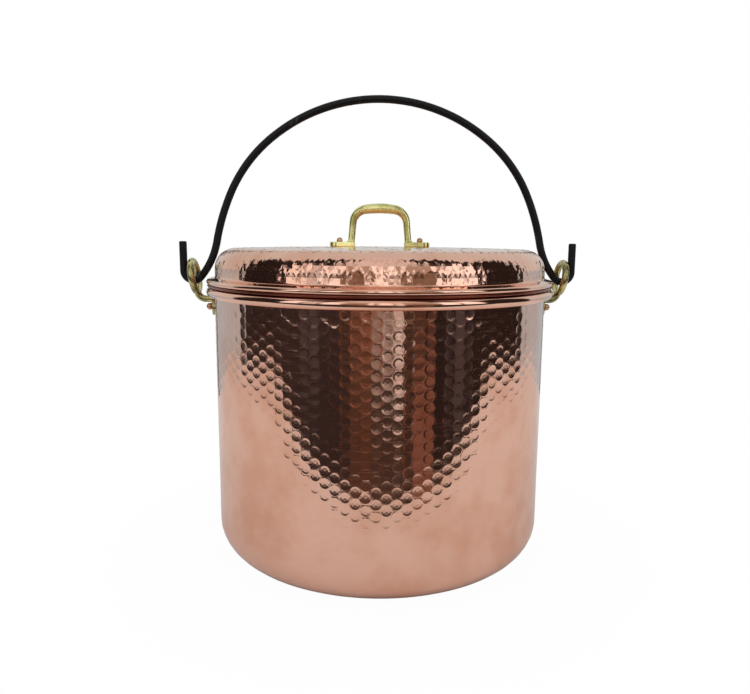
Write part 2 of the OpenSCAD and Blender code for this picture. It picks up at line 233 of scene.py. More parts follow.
# %% Tin, brass, iron and wire
def tin_lining():
    material, net, shader, point = finish_of("wiped tin", Metallic=1.0)
    wipe = net.noise(point, 5, 3, (1, 1, 6))
    speck = net.noise(point, 420, 2)
    net.plug(net.colour(wipe, (0.66, 0.64, 0.60, 1), (0.80, 0.78, 0.74, 1)),
             shader.inputs["Base Color"])
    net.plug(0.26 + 0.14 * wipe + 0.08 * speck, shader.inputs["Roughness"])
    relief(net, shader, wipe + speck * 0.2, 0.05)
    return material


def cast_brass(name, bright, dark):
    material, net, shader, point = finish_of(name, Metallic=1.0)
    cloud = net.noise(point, 60, 3)
    pores = net.noise(point, 900, 3)
    dull = net.step(cloud * 0.7 + pores * 0.3, 0.4, 0.66)
    net.plug(net.colour(dull, bright, dark), shader.inputs["Base Color"])
    net.plug(0.15 + 0.13 * dull + 0.08 * pores, shader.inputs["Roughness"])
    relief(net, shader, net.noise(point, 260, 3) + pores * 0.35, 0.05)
    return material


def black_iron():
    material, net, shader, point = finish_of("black iron", Metallic=0.0, Specular_IOR_Level=0.22)
    cloud = net.noise(point, 40, 4)
    scuff = net.step(net.noise(point, 130, 5, (1, 1, 0.5)), 0.6, 0.72)
    net.plug(net.colour(scuff * 0.7, (0.006, 0.006, 0.007, 1), (0.05, 0.048, 0.045, 1)),
             shader.inputs["Base Color"])
    net.plug(0.3 + 0.16 * cloud + 0.12 * scuff, shader.inputs["Roughness"])
    relief(net, shader, net.noise(point, 420, 3) + cloud, 0.06)
    return material


def drawn_wire():
    material, net, shader, point = finish_of("drawn wire", Metallic=1.0)
    rust = net.step(net.noise(point, 220, 4), 0.5, 0.7)
    net.plug(net.colour(rust, (0.36, 0.35, 0.33, 1), (0.17, 0.08, 0.04, 1)),
             shader.inputs["Base Color"])
    net.plug(0.3 + 0.35 * rust, shader.inputs["Roughness"])
    relief(net, shader, net.noise(point, 700, 2), 0.02)
    return material


TIN, IRON, WIRE = tin_lining(), black_iron(), drawn_wire()
BRIGHT_BRASS = cast_brass("bright brass", (0.92, 0.89, 0.40, 1), (0.50, 0.46, 0.17, 1))
OLD_BRASS = cast_brass("old brass", (0.64, 0.60, 0.28, 1), (0.22, 0.19, 0.08, 1))
print("tin, brass, iron and wire ready")

# %% [markdown]
# ## From a node tree to a plain mesh
#
# Each repeated feature is a Geometry Nodes tree with named inputs. The inputs are set
# before the object is first evaluated, the result is copied out as a plain mesh, and
# the helper object is thrown away, so what rides on the frame is only the mesh.


# %% Trees, modifiers and plain meshes
SOCKETS = {"geometry": "NodeSocketGeometry", "float": "NodeSocketFloat", "int": "NodeSocketInt",
           "object": "NodeSocketObject", "material": "NodeSocketMaterial"}


def new_tree(name, **inputs):
    """A geometry tree with a Geometry input and output, and more inputs by name."""
    tree = bpy.data.node_groups.new(name, "GeometryNodeTree")
    tree.interface.new_socket("Geometry", in_out="INPUT", socket_type=SOCKETS["geometry"])
    tree.interface.new_socket("Geometry", in_out="OUTPUT", socket_type=SOCKETS["geometry"])
    for label, kind in inputs.items():
        tree.interface.new_socket(label.replace("_", " "), in_out="INPUT",
                                  socket_type=SOCKETS[kind])
    net = Net(tree)
    return net, net.add("NodeGroupInput").outputs


def close_tree(net, geometry, material):
    """Ends a tree in Realize Instances and Set Material."""
    real = net.add("GeometryNodeRealizeInstances", None, {0: geometry})
    dressed = net.add("GeometryNodeSetMaterial", None,
                      {"Geometry": real.outputs[0], "Material": material})
    end = net.add("NodeGroupOutput")
    net.plug(dressed.outputs[0], end.inputs[0])
    return net.tree


def grown(data, tree, **inputs):
    """The plain mesh that a tree makes from a mesh or curve, with its inputs by name."""
    seed = bpy.data.objects.new("seed", data)
    bpy.context.scene.collection.objects.link(seed)
    modifier = seed.modifiers.new("grow", "NODES")
    modifier.node_group = tree
    for item in tree.interface.items_tree:
        label = item.name.replace(" ", "_")
        if item.in_out == "INPUT" and label in inputs:
            modifier[item.identifier] = inputs[label]
    bpy.context.view_layer.update()
    graph = bpy.context.evaluated_depsgraph_get()
    mesh = bpy.data.meshes.new_from_object(seed.evaluated_get(graph))
    seed.modifiers.remove(modifier)
    bpy.data.objects.remove(seed)
    return mesh


def piece(name, mesh, body, slot, *nodes):
    """Puts a finished mesh in the scene as a piece on its body."""
    mesh.name = name
    obj = bpy.data.objects.new(name, mesh)
    bpy.context.scene.collection.objects.link(obj)
    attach(obj, body)
    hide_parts(*nodes)
    triangles = sum(len(p.vertices) - 2 for p in mesh.polygons)
    print(f"{name}: {triangles} triangles on {body}")
    return obj


# %% [markdown]
# ## The hammered sheet
#
# A planished pot is covered in shallow dishes, one for each blow, that meet in crisp
# ridges. They could be painted on as bump, but a mirror shows at once that nothing is
# there, so each dish is real. The tree starts from a flat sheet with one vertex at each
# blow. Its dual mesh turns every vertex into a cell, and each cell is cut into rings. The
# sheet is wrapped round: the distance from its middle becomes the distance along a
# profile curve. The rings are made round, and each point sinks by how near it is to the
# closest blow.

# %% Wrapping a sheet and cutting its cells
TINY = 1e-6
RING_SHARE = 0.64


def wrapped(net, geometry, profile, start):
    """Wraps a flat sheet round the profile."""
    at = net.add("GeometryNodeInputPosition").outputs[0]
    x, y, _ = net.parts(at)
    out = (x * x + y * y) ** 0.5
    safe = out.most(TINY)
    sample = net.add("GeometryNodeSampleCurve", {"mode": "LENGTH"},
                     {"Curves": profile, "Length": out - start})
    radius, _, height = net.parts(sample.outputs["Position"])
    place = net.add("ShaderNodeCombineXYZ", None,
                    {0: radius * x / safe, 1: radius * y / safe, 2: height})
    return net.add("GeometryNodeSetPosition", None,
                   {"Geometry": geometry, "Position": place.outputs[0]}).outputs[0]


def cell_rings(net, blows):
    """A cell round each blow, cut into rings. Its share runs from 0 at the border to 1."""
    cells = net.add("GeometryNodeDualMesh", None, {0: blows}).outputs[0]
    lifted = net.add("GeometryNodeExtrudeMesh", None,
                     {"Mesh": cells, "Offset Scale": 0.0, "Individual": True})
    shrunk = net.add("GeometryNodeScaleElements", None,
                     {"Geometry": lifted.outputs["Mesh"], "Selection": lifted.outputs["Top"],
                      "Scale": RING_SHARE})
    named = net.add("GeometryNodeStoreNamedAttribute",
                    {"data_type": "FLOAT", "domain": "POINT"},
                    {"Geometry": shrunk.outputs[0], "Name": "share",
                     "Value": lifted.outputs["Top"]})
    joined = net.add("GeometryNodeMergeByDistance", None,
                     {"Geometry": named.outputs[0], "Distance": TINY})
    return net.add("GeometryNodeSubdivideMesh", None,
                   {"Mesh": joined.outputs[0], "Level": 1}).outputs[0]


# %% Rounding the cells
RIM_FROM, INNER_FROM = 0.3, 0.8  # lowest share of a point on the rim and the inner ring
CENTRE_REACH = 0.3  # a point within this part of the reach is a cell's middle


def rounded(net, sheet, blow_points, reach):
    """Moves each cell's rings onto circles round its blow."""
    share = Value(net, net.add("GeometryNodeInputNamedAttribute", {"data_type": "FLOAT"},
                               {"Name": "share"}).outputs[0])
    near = net.add("GeometryNodeProximity", {"target_element": "POINTS"},
                   {"Geometry": blow_points})
    gap = net.value(near, "Distance")
    off_centre = gap.over(reach * CENTRE_REACH)
    inner, rim = share.over(INNER_FROM), share.over(RIM_FROM)
    aim = reach * (1 - inner * (1 - RING_SHARE))
    stretch = 1 + off_centre * rim * (aim / gap.most(TINY) - 1)
    here = net.add("GeometryNodeInputPosition").outputs[0]
    arm = net.vector("SUBTRACT", here, near.outputs["Position"])
    place = net.vector("ADD", near.outputs["Position"], net.vector("SCALE", arm, stretch))
    return net.add("GeometryNodeSetPosition", None,
                   {"Geometry": sheet, "Position": place}).outputs[0], share


def pressed_in(net, geometry, depth):
    """Moves each point inwards, against its normal, by a depth."""
    facing = net.add("GeometryNodeInputNormal").outputs[0]
    return net.add("GeometryNodeSetPosition", None,
                   {"Geometry": geometry,
                    "Offset": net.vector("SCALE", facing, depth * -1)}).outputs[0]


# %% The tree for hammer marks
FORCE_WAVES, SWAY_WAVES, TILT_WAVES = 55, 16, 310.0
LIGHTEST_BLOW, MORE_FORCE = 0.6, 0.8
RIM_LINE, RIM_WIDTH = 0.5, 0.05  # the share on the rim, where the shading stays crisp


def sunk_marks():
    net, given = new_tree("hammer marks", Profile="object", Start="float", Depth="float",
                          Reach="float", Scatter="float", Sway="float", Tilt="float",
                          Lowest="float", Seed="int", Copper="material")
    profile = net.add("GeometryNodeObjectInfo", None, {"Object": given["Profile"]})
    profile = profile.outputs["Geometry"]
    start, reach = Value(net, given["Start"]), Value(net, given["Reach"])
    stray = net.add("FunctionNodeRandomValue", {"data_type": "FLOAT_VECTOR"},
                    {0: (-1, -1, 0), 1: (1, 1, 0), "Seed": given["Seed"]})
    nudge = net.vector("SCALE", stray.outputs[0], given["Scatter"])
    blows = net.add("GeometryNodeSetPosition", None,
                    {"Geometry": given["Geometry"], "Offset": nudge}).outputs[0]
    blow_points = wrapped(net, blows, profile, start)
    smooth_sheet = wrapped(net, cell_rings(net, blows), profile, start)
    discs, share = rounded(net, smooth_sheet, blow_points, reach)
    near = net.add("GeometryNodeProximity", {"target_element": "POINTS"},
                   {"Geometry": blow_points})
    spot = near.outputs["Position"]
    gap = net.value(near, "Distance") / reach
    dish = (1 - gap * gap).most(0)
    place = net.add("GeometryNodeInputPosition").outputs[0]
    force = net.noise(spot, FORCE_WAVES, 1)
    sway = net.noise(place, SWAY_WAVES, 1)
    wobble = net.add("ShaderNodeTexNoise", None,
                     {"Vector": spot, "Scale": TILT_WAVES, "Detail": 0.0})
    lean = net.vector("SUBTRACT", wobble.outputs["Color"], (0.5, 0.5, 0.5))
    tip = net.add("ShaderNodeVectorMath", {"operation": "DOT_PRODUCT"},
                  {0: lean, 1: net.vector("SUBTRACT", place, spot)})
    tip = net.value(tip, "Value") * share.over(RIM_FROM) * Value(net, given["Tilt"])
    sink = dish * (LIGHTEST_BLOW + MORE_FORCE * force) * Value(net, given["Depth"])
    sink = sink + sway * Value(net, given["Sway"]) + tip
    height = net.parts(place)[2]
    marked = pressed_in(net, discs, sink * height.over(Value(net, given["Lowest"])))
    rim = 1 - (share - RIM_LINE).size().over(RIM_WIDTH)
    crisp = net.add("GeometryNodeSetShadeSmooth", {"domain": "EDGE"},
                    {"Geometry": marked, "Selection": rim, "Shade Smooth": False})
    plain = net.add("GeometryNodeRemoveAttribute", None,
                    {"Geometry": crisp.outputs[0], "Name": "share"})
    return close_tree(net, plain.outputs[0], given["Copper"])


HAMMER_MARKS = sunk_marks()
print("hammer tree", len(HAMMER_MARKS.nodes), "nodes")

# %% [markdown]
# ## Profiles and plain edges
#
# Where the sheet is not hammered (the pot's rolled rim, corner and base, the lid's hem and
# the inside of both) its shape is only a profile turned about the axis. The open edge loop of the
# hammered part is drawn on along that profile, ring by ring, so rim, wall, base and
# inside are one closed skin with no seam.


# %% Profiles
def arc(cx, cz, r, first, last, steps):
    """Points (radius, height) on an arc; 0 degrees is outwards and 90 is up."""
    turns = np.radians(np.linspace(first, last, steps + 1))
    return [(cx + r * math.cos(t), cz + r * math.sin(t)) for t in turns]


def crown(r, drop=0.0):
    """A point of the lid's slightly domed top."""
    return r, LID_TOP + LID_CROWN * (1 - (r / FLAT_R) ** 2) - drop


def profile_object(points):
    """A hidden poly curve in the XZ plane that the tree samples."""
    curve = bpy.data.curves.new("profile", "CURVE")
    curve.dimensions = "3D"
    spline = curve.splines.new("POLY")
    spline.points.add(len(points) - 1)
    for knot, (r, z) in zip(spline.points, points):
        knot.co = (r * MM, 0, z * MM, 1)
    obj = bpy.data.objects.new("profile", curve)
    bpy.context.scene.collection.objects.link(obj)
    return obj


def length_of(points):
    steps = np.diff(np.array(points), axis=0)
    return float(np.hypot(steps[:, 0], steps[:, 1]).sum())


# %% Drawing an edge on
def edge_rings(sheet):
    """The open edge loops of a sheet, each sorted round the axis."""
    loops, left = [], {v for v in sheet.verts if v.is_boundary}
    while left:
        walk = [left.pop()]
        loop = set(walk)
        while walk:
            for edge in walk.pop().link_edges:
                for v in edge.verts:
                    if edge.is_boundary and v in left:
                        left.remove(v)
                        loop.add(v)
                        walk.append(v)
        loops.append(sorted(loop, key=lambda v: math.atan2(v.co.y, v.co.x)))
    return loops


def flatten(ring, r, z):
    """Moves an edge loop onto a circle, each vertex keeping its direction."""
    for v in ring:
        out = Vector((v.co.x, v.co.y, 0)).normalized() * r * MM
        v.co = (out.x, out.y, z * MM)


def draw_on(sheet, ring, stations, paint=0, close=False):
    """Adds rings of faces from an edge loop along (radius, height) stations."""
    rays = [Vector((v.co.x, v.co.y, 0)).normalized() for v in ring]
    count = len(ring)
    for r, z in stations:
        new = [sheet.verts.new((ray.x * r * MM, ray.y * r * MM, z * MM)) for ray in rays]
        for i in range(count):
            j = (i + 1) % count
            face = sheet.faces.new((ring[i], ring[j], new[j], new[i]))
            face.material_index, face.smooth = paint, True
        ring = new
    if close:
        pole = sheet.verts.new((0, 0, stations[-1][1] * MM))
        for i in range(count):
            face = sheet.faces.new((ring[i], ring[(i + 1) % count], pole))
            face.material_index, face.smooth = paint, True
    return ring


def crease(sheet, angle):
    """Marks folds sharper than an angle, so that they stay crisp when shaded."""
    for edge in sheet.edges:
        if len(edge.link_faces) == 2 and edge.calc_face_angle() > math.radians(angle):
            edge.smooth = False


# %% [markdown]
# ## The pot
#
# On the real pot one sheet is raised into a cylinder, hammered in upright columns, and
# its edge is rolled over an iron wire. The blows stand in 120 columns up to the rim, and
# every second column is half a blow higher. They stop at a level line a little above the
# corner. The base and the inside are plain, and the inside is wiped with tin.

# %% The blows on the pot's wall
COLUMNS, ROWS = 120, 21
WALL_LOW, WALL_HIGH, MARKS_FROM = 28.0, 234.2, 44.0
WALL_PITCH = (WALL_HIGH - WALL_LOW) / ROWS
FLAT_START = 400.0  # radius of the flat ring's inner edge


def wall_layout():
    """One vertex at each blow, on a flat ring: the inner edge is the wall's foot."""
    spots, columns = [], []
    for c in range(COLUMNS):
        raised, turn = c % 2, 2 * math.pi * c / COLUMNS
        blows = [FLAT_START + (k - 0.5 + 0.5 * raised) * WALL_PITCH
                 for k in range(ROWS + 2 - raised)]
        columns.append(range(len(spots), len(spots) + len(blows)))
        spots += [(out * MM * math.cos(turn), out * MM * math.sin(turn), 0) for out in blows]
    faces = []
    for c in range(0, COLUMNS, 2):
        even = columns[c]
        # The winding is the one whose normals point outwards once the ring is wrapped.
        for odd, winding in ((columns[c + 1], 1), (columns[c - 1], -1)):
            fans = [(even[j], odd[j], even[j + 1]) for j in range(ROWS + 1)]
            fans += [(odd[j], odd[j + 1], even[j + 1]) for j in range(ROWS)]
            faces += [fan[::winding] for fan in fans]
    mesh = bpy.data.meshes.new("wall blows")
    mesh.from_pydata(spots, [], faces)
    return mesh


wall_profile = profile_object([(POT_R, WALL_LOW), (POT_R, WALL_HIGH)])
wall_mesh = grown(wall_layout(), HAMMER_MARKS, Profile=wall_profile, Start=FLAT_START * MM,
                  Depth=0.13 * MM, Reach=4.3 * MM, Scatter=0.25 * MM, Sway=0.1 * MM,
                  Tilt=0.035, Lowest=MARKS_FROM * MM, Seed=4, Copper=POLISHED_COPPER)
bpy.data.objects.remove(wall_profile)
print("wall cells", COLUMNS * ROWS, "faces", len(wall_mesh.polygons))


# %% The whole pot
FOLD = 28  # degrees: a sharper fold stays crisp
ROLL_FROM, ROLL_TO = 229.4, 530
BASE_RADII = (70, 6)
INSIDE_HEIGHTS = (236.5, 228, 130, CORNER_R)


def pot_mesh(mesh):
    """Draws the corner, base, rolled rim and inside on to the hammered wall."""
    sheet = bmesh.new()
    sheet.from_mesh(mesh)
    foot, top = sorted(edge_rings(sheet), key=lambda ring: ring[0].co.z)
    flatten(foot, POT_R, WALL_LOW)
    flatten(top, POT_R, WALL_HIGH)
    centre_r, inner = POT_R - CORNER_R, POT_R - POT_SHEET
    corner = arc(centre_r, CORNER_R, CORNER_R, 0, -90, 10)[1:]
    draw_on(sheet, foot, corner + [(r, 0) for r in BASE_RADII], close=True)
    lip = draw_on(sheet, top, arc(ROLL_X, ROLL_Z, ROLL_R, ROLL_FROM, ROLL_TO, 22))
    inside = [(inner, z) for z in INSIDE_HEIGHTS]
    inside += arc(centre_r, CORNER_R, CORNER_R - POT_SHEET, 0, -90, 8)[1:]
    inside += [(r, POT_SHEET) for r in BASE_RADII]
    draw_on(sheet, lip, inside, paint=1, close=True)
    bmesh.ops.recalc_face_normals(sheet, faces=sheet.faces)
    crease(sheet, FOLD)
    sheet.to_mesh(mesh)
    sheet.free()
    mesh.materials.append(TIN)
    return mesh


piece("pot_shell", pot_mesh(wall_mesh), "kettle", "copper", "kettle_body")

# %% [markdown]
# ## The lid
#
# The lid is hammered in rings. From just past the side's foot up over the shoulder the
# rings hold the same number of blows, each turned by half a blow. Nearer the middle the
# blows keep their size, so a ring holds fewer of them. Rings with different counts have
# no regular net between them, so a Delaunay triangulation joins the blows before the
# same tree turns them into dishes.

# %% The blows on the lid
LID_COLUMNS, LID_PITCH, LAST_FULL_RING, LID_SEED = 108, 8.9, 4, 11
SMALLEST_RING, SAME_SPOT = LID_PITCH * 0.6, 1e-7
SIDE_FOOT, FOOT_R = 251.6, LID_R + 0.22
lid_line = [crown(r) for r in np.linspace(0, FLAT_R, 60)]
lid_line += arc(FLAT_R, LID_TOP - SHOULDER_R, SHOULDER_R, 90, 0, 40)[1:]
lid_line += [(FOOT_R, SIDE_FOOT)]
LID_LENGTH = length_of(lid_line)


def lid_layout():
    """One vertex at each blow, on a flat disc as wide as the lid's outline is long."""
    rng = np.random.default_rng(LID_SEED)
    spots, ring, out = [Vector((0, 0))], 0, LID_LENGTH + LID_PITCH / 2
    while out > SMALLEST_RING:
        full = ring <= LAST_FULL_RING
        count = LID_COLUMNS if full else round(2 * math.pi * out / LID_PITCH)
        lead = ring / 2 if full else rng.uniform(0, 1)
        for i in range(count):
            turn = 2 * math.pi * (i + lead) / count
            spots.append(Vector((math.cos(turn), math.sin(turn))) * out * MM)
        out, ring = out - LID_PITCH, ring + 1
    corners, _, triangles = delaunay_2d_cdt(spots, [], [], 0, SAME_SPOT)[:3]
    mesh = bpy.data.meshes.new("lid blows")
    mesh.from_pydata([(v.x, v.y, 0) for v in corners], [], triangles)
    return mesh


lid_profile = profile_object(lid_line)
lid_mesh = grown(lid_layout(), HAMMER_MARKS, Profile=lid_profile, Start=0.0, Depth=0.14 * MM,
                 Reach=4.1 * MM, Scatter=0.3 * MM, Sway=0.12 * MM, Tilt=0.05,
                 Lowest=0.0, Seed=9, Copper=POLISHED_COPPER)
bpy.data.objects.remove(lid_profile)
print("lid faces", len(lid_mesh.polygons), "profile", round(LID_LENGTH, 1), "mm")


# %% The whole lid
UNDER_R = LID_R - LID_SHEET
FLANGE = [(149.5, 250.95), (149.8, 250.5), (150.4, 250.2), (152.4, 249.6)]
HEM_FROM, HEM_TO, HEM_END = 84, -222, (151.5, 248.35)
UNDER_FLANGE = [(148.9, 248.95), (148.2, 249.3), (UNDER_R, 249.9), (UNDER_R, 254)]
TOP_RADII = (110, 80, 50, 20, 6)


def lid_shell_mesh(mesh):
    """Draws the flange, hem and underside on to the hammered lid."""
    sheet = bmesh.new()
    sheet.from_mesh(mesh)
    edge = edge_rings(sheet)[0]
    flatten(edge, FOOT_R, SIDE_FOOT)
    hem = arc(HEM_X, HEM_Z, HEM_R, HEM_FROM, HEM_TO, 22) + [HEM_END]
    lip = draw_on(sheet, edge, FLANGE + hem)
    inside = arc(FLAT_R, LID_TOP - SHOULDER_R, SHOULDER_R - LID_SHEET, 0, 90, 10)
    inside += [crown(r, LID_SHEET) for r in TOP_RADII]
    draw_on(sheet, lip, UNDER_FLANGE + inside, paint=1, close=True)
    bmesh.ops.recalc_face_normals(sheet, faces=sheet.faces)
    crease(sheet, FOLD)
    sheet.to_mesh(mesh)
    sheet.free()
    mesh.materials.append(TIN)
    return mesh


piece("lid_shell", lid_shell_mesh(lid_mesh), "lid", "copper", "lid")

# %% [markdown]
# ## The bail
#
# The bail is one round iron bar bent cold: a high arch, two nearly straight legs that
# turn outwards over the lid, and a hook at each end that comes up through its ring. A
# bar along a path is a curve swept by a circle, and the curve's own radius rounds the
# cut ends. A little noise leaves it as uneven as a bar that has been in a vice.

# %% The bar's path
CREST_Z, BAR_R, TAIL, TIP_EDGE = 408.25, 3.5, 26.9, 1.4
BENDS = (  # radius, from degrees, to degrees, degrees a step
    (155.815, 0, 40, 1.5), (131.116, 40, 66, 1.5), (200.0, 66, 79, 1.5),
    (-71.92, 79, 50, 2), (-8.8, 50, -90, 6))
TAIL_FROM, TAIL_POINTS, TIP_TURNS = 4, 6, (25, 50, 70, 90)


def bar_path():
    """(x, z, share of the full width) from the crest to the tip of the right hook."""
    x, z, path = 0.0, CREST_Z, [(0.0, CREST_Z, 1.0)]
    for r, first, last, step in BENDS:
        turns = np.radians(np.linspace(first, last, round(abs(last - first) / step) + 1))
        for t in turns[1:]:
            path.append((x + r * (math.sin(t) - math.sin(turns[0])),
                         z + r * (math.cos(t) - math.cos(turns[0])), 1.0))
        x, z = path[-1][:2]
    path += [(x, z + d, 1.0) for d in np.linspace(TAIL_FROM, TAIL - TIP_EDGE, TAIL_POINTS)]
    for t in np.radians(TIP_TURNS):
        share = 1 - TIP_EDGE * (1 - math.cos(t)) / BAR_R
        path.append((x, z + TAIL - TIP_EDGE * (1 - math.sin(t)), share))
    return path


def bar_curve():
    """The whole bar's curve, from the left hook's tip to the right one's."""
    half = bar_path()
    whole = [(-x, z, w) for x, z, w in half[:0:-1]] + half
    curve = bpy.data.curves.new("bar", "CURVE")
    curve.dimensions = "3D"
    spline = curve.splines.new("POLY")
    spline.points.add(len(whole) - 1)
    for knot, (x, z, w) in zip(spline.points, whole):
        knot.co, knot.radius = (x * MM, 0, z * MM, 1), w
    print("bar ends at", [round(c, 2) for c in whole[-1]])
    return curve


# %% The swept bar
def bar_tree():
    net, given = new_tree("swept bar", Bar_radius="float", Sides="int", Dents="float",
                          Iron="material")
    ring = net.add("GeometryNodeCurvePrimitiveCircle", {"mode": "RADIUS"},
                   {"Resolution": given["Sides"], "Radius": given["Bar radius"]})
    width = net.add("GeometryNodeInputRadius").outputs[0]
    swept = net.add("GeometryNodeCurveToMesh", None,
                    {"Curve": given["Geometry"], "Profile Curve": ring.outputs[0],
                     "Scale": width, "Fill Caps": True})
    place = net.add("GeometryNodeInputPosition").outputs[0]
    uneven = net.noise(place, 90, 3) * Value(net, given["Dents"])
    return close_tree(net, pressed_in(net, swept.outputs[0], uneven), given["Iron"])


def smooth_mesh(mesh, angle=40):
    """Smooth shading, with folds sharper than an angle kept crisp."""
    work = bmesh.new()
    work.from_mesh(mesh)
    for face in work.faces:
        face.smooth = True
    bmesh.ops.recalc_face_normals(work, faces=work.faces)
    crease(work, angle)
    work.to_mesh(mesh)
    work.free()
    return mesh


bail_mesh = grown(bar_curve(), bar_tree(), Bar_radius=BAR_R * MM, Sides=28, Dents=0.16 * MM,
                  Iron=IRON)
bail = piece("bail_rod", smooth_mesh(bail_mesh), "bail", "black_iron", "bail")
print("bail box", *([round(c, 4) for c in bail.bound_box[i]] for i in (0, 6)))

# %% [markdown]
# ## The castings
#
# The lid's grip and the two ears are sand castings. Sand rounds every inside corner and
# takes the edge off every outside one, which no modelled union of bars does by itself.
# A copy of each CAD solid is merged, remeshed into even voxels and relaxed: bars and
# plates melt into each other as poured metal does, and stay the size that they were.


# %% Casting a copy of a CAD node
def casting(nodes, voxel_mm, passes, metal, fuller):
    """A casting of some CAD nodes. Each point (x, y, z) moves out by fuller(x, z) mm."""
    work = bmesh.new()
    for node in nodes:
        work.from_mesh(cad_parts[node].data)
    bmesh.ops.remove_doubles(work, verts=work.verts, dist=1e-6)
    mesh = bpy.data.meshes.new("pattern")
    work.to_mesh(mesh)
    work.free()
    pattern = bpy.data.objects.new("pattern", mesh)
    bpy.context.scene.collection.objects.link(pattern)
    remesh = pattern.modifiers.new("sand", "REMESH")
    remesh.mode, remesh.voxel_size, remesh.use_smooth_shade = "VOXEL", voxel_mm * MM, True
    relax = pattern.modifiers.new("relax", "SMOOTH")
    relax.factor, relax.iterations = 0.5, passes
    graph = bpy.context.evaluated_depsgraph_get()
    cast = bpy.data.meshes.new_from_object(pattern.evaluated_get(graph))
    bpy.data.objects.remove(pattern)
    moved = [v.co + v.normal * fuller(v.co.x / MM, v.co.z / MM) * MM for v in cast.vertices]
    for v, place in zip(cast.vertices, moved):
        v.co = place
    cast.materials.clear()
    cast.materials.append(metal)
    return cast


# %% The grip and the ears
GRIP_LOW, GRIP_RISE, GRIP_HALF = 292, 14, 30
FULLER, FULLEST, EAR_FULLER = 0.15, 1.25, 0.25


def grip_swell(x, z):
    """The bar is fuller in the middle of the arch, where the fingers hold it."""
    height = min(max((z - GRIP_LOW) / GRIP_RISE, 0), 1)
    return FULLER + FULLEST * height * height * max(1 - (x / GRIP_HALF) ** 2, 0)


grip_mesh = casting(["lid_handle"], 0.5, 7, BRIGHT_BRASS, grip_swell)
piece("grip_casting", grip_mesh, "lid", "brass", "lid_handle")
ears_mesh = casting(["ear_left", "ear_right"], 0.55, 6, OLD_BRASS, lambda x, z: EAR_FULLER)
piece("ear_castings", ears_mesh, "kettle", "brass", "ear_left", "ear_right")

# %% [markdown]
# ## The rivets
#
# Six copper rivets hold the castings: each has a flat tail inside, a shank through both
# metals and a head left nearly round by the snap. Those of the ears and those of the lid
# are each one turned shape set on points, and each point carries the direction that its
# rivet looks in. A random spin about that axis turns the facets, and noise read at each
# rivet's own place dents every head in its own way.

# %% One rivet
TAIL_BACK, RIVET_TURN = -1.2, 15  # height of the tail's flat end, degrees a side


def rivet_object(shank_r, grip_l, head_r, proud, tail_r):
    """A rivet that points up: grip_l of shank over z = 0, and a head proud mm tall on it."""
    ball = grip_l + proud - head_r
    low = math.degrees(math.asin((grip_l - ball) / head_r))
    line = [(tail_r - 0.5, TAIL_BACK), (tail_r, -0.8), (tail_r - 0.1, -0.15), (shank_r, 0)]
    line += [(shank_r, grip_l)] + arc(0, ball, head_r, low, 84, 9)
    work, flat_r = bmesh.new(), tail_r - 1
    ring = [work.verts.new((math.cos(t) * flat_r * MM, math.sin(t) * flat_r * MM,
                            TAIL_BACK * MM)) for t in np.radians(np.arange(0, 360, RIVET_TURN))]
    work.faces.new(ring[::-1])
    draw_on(work, ring, line, close=True)
    bmesh.ops.recalc_face_normals(work, faces=work.faces)
    mesh = bpy.data.meshes.new("rivet")
    work.to_mesh(mesh)
    work.free()
    obj = bpy.data.objects.new("rivet", mesh)
    bpy.context.scene.collection.objects.link(obj)
    return obj


# %% The tree that sets rivets
def rivet_tree():
    """Sets one rivet at each point, along the point's axis."""
    net, given = new_tree("set rivets", Rivet="object", Dents="float", Seed="int",
                          Copper="material")
    shape = net.add("GeometryNodeObjectInfo", None, {"Object": given["Rivet"]})
    axis = net.add("GeometryNodeInputNamedAttribute", {"data_type": "FLOAT_VECTOR"},
                   {"Name": "axis"})
    aim = net.add("FunctionNodeAlignRotationToVector", {"axis": "Z"},
                  {"Vector": axis.outputs[0]})
    put = net.add("GeometryNodeInstanceOnPoints", None,
                  {"Points": given["Geometry"], "Instance": shape.outputs["Geometry"],
                   "Rotation": aim.outputs[0]})
    spin = net.add("FunctionNodeRandomValue", {"data_type": "FLOAT"},
                   {2: 0.0, 3: 2 * math.pi, "Seed": given["Seed"]})
    turn = net.add("ShaderNodeCombineXYZ", None, {2: spin.outputs[1]})
    spun = net.add("GeometryNodeRotateInstances", None,
                   {"Instances": put.outputs[0], "Rotation": turn.outputs[0]})
    real = net.add("GeometryNodeRealizeInstances", None, {0: spun.outputs[0]})
    place = net.add("GeometryNodeInputPosition").outputs[0]
    dent = net.noise(place, 330, 1) * Value(net, given["Dents"])
    return close_tree(net, pressed_in(net, real.outputs[0], dent), given["Copper"])


SET_RIVETS = rivet_tree()
print("rivet tree", len(SET_RIVETS.nodes), "nodes")


# %% The six rivets
def rivet_points(places):
    """A mesh of points, each with the direction of its rivet."""
    mesh = bpy.data.meshes.new("rivet points")
    mesh.from_pydata([tuple(c * MM for c in spot) for spot, axis in places], [], [])
    axes = mesh.attributes.new("axis", "FLOAT_VECTOR", "POINT")
    for item, (spot, axis) in zip(axes.data, places):
        item.vector = axis
    return mesh


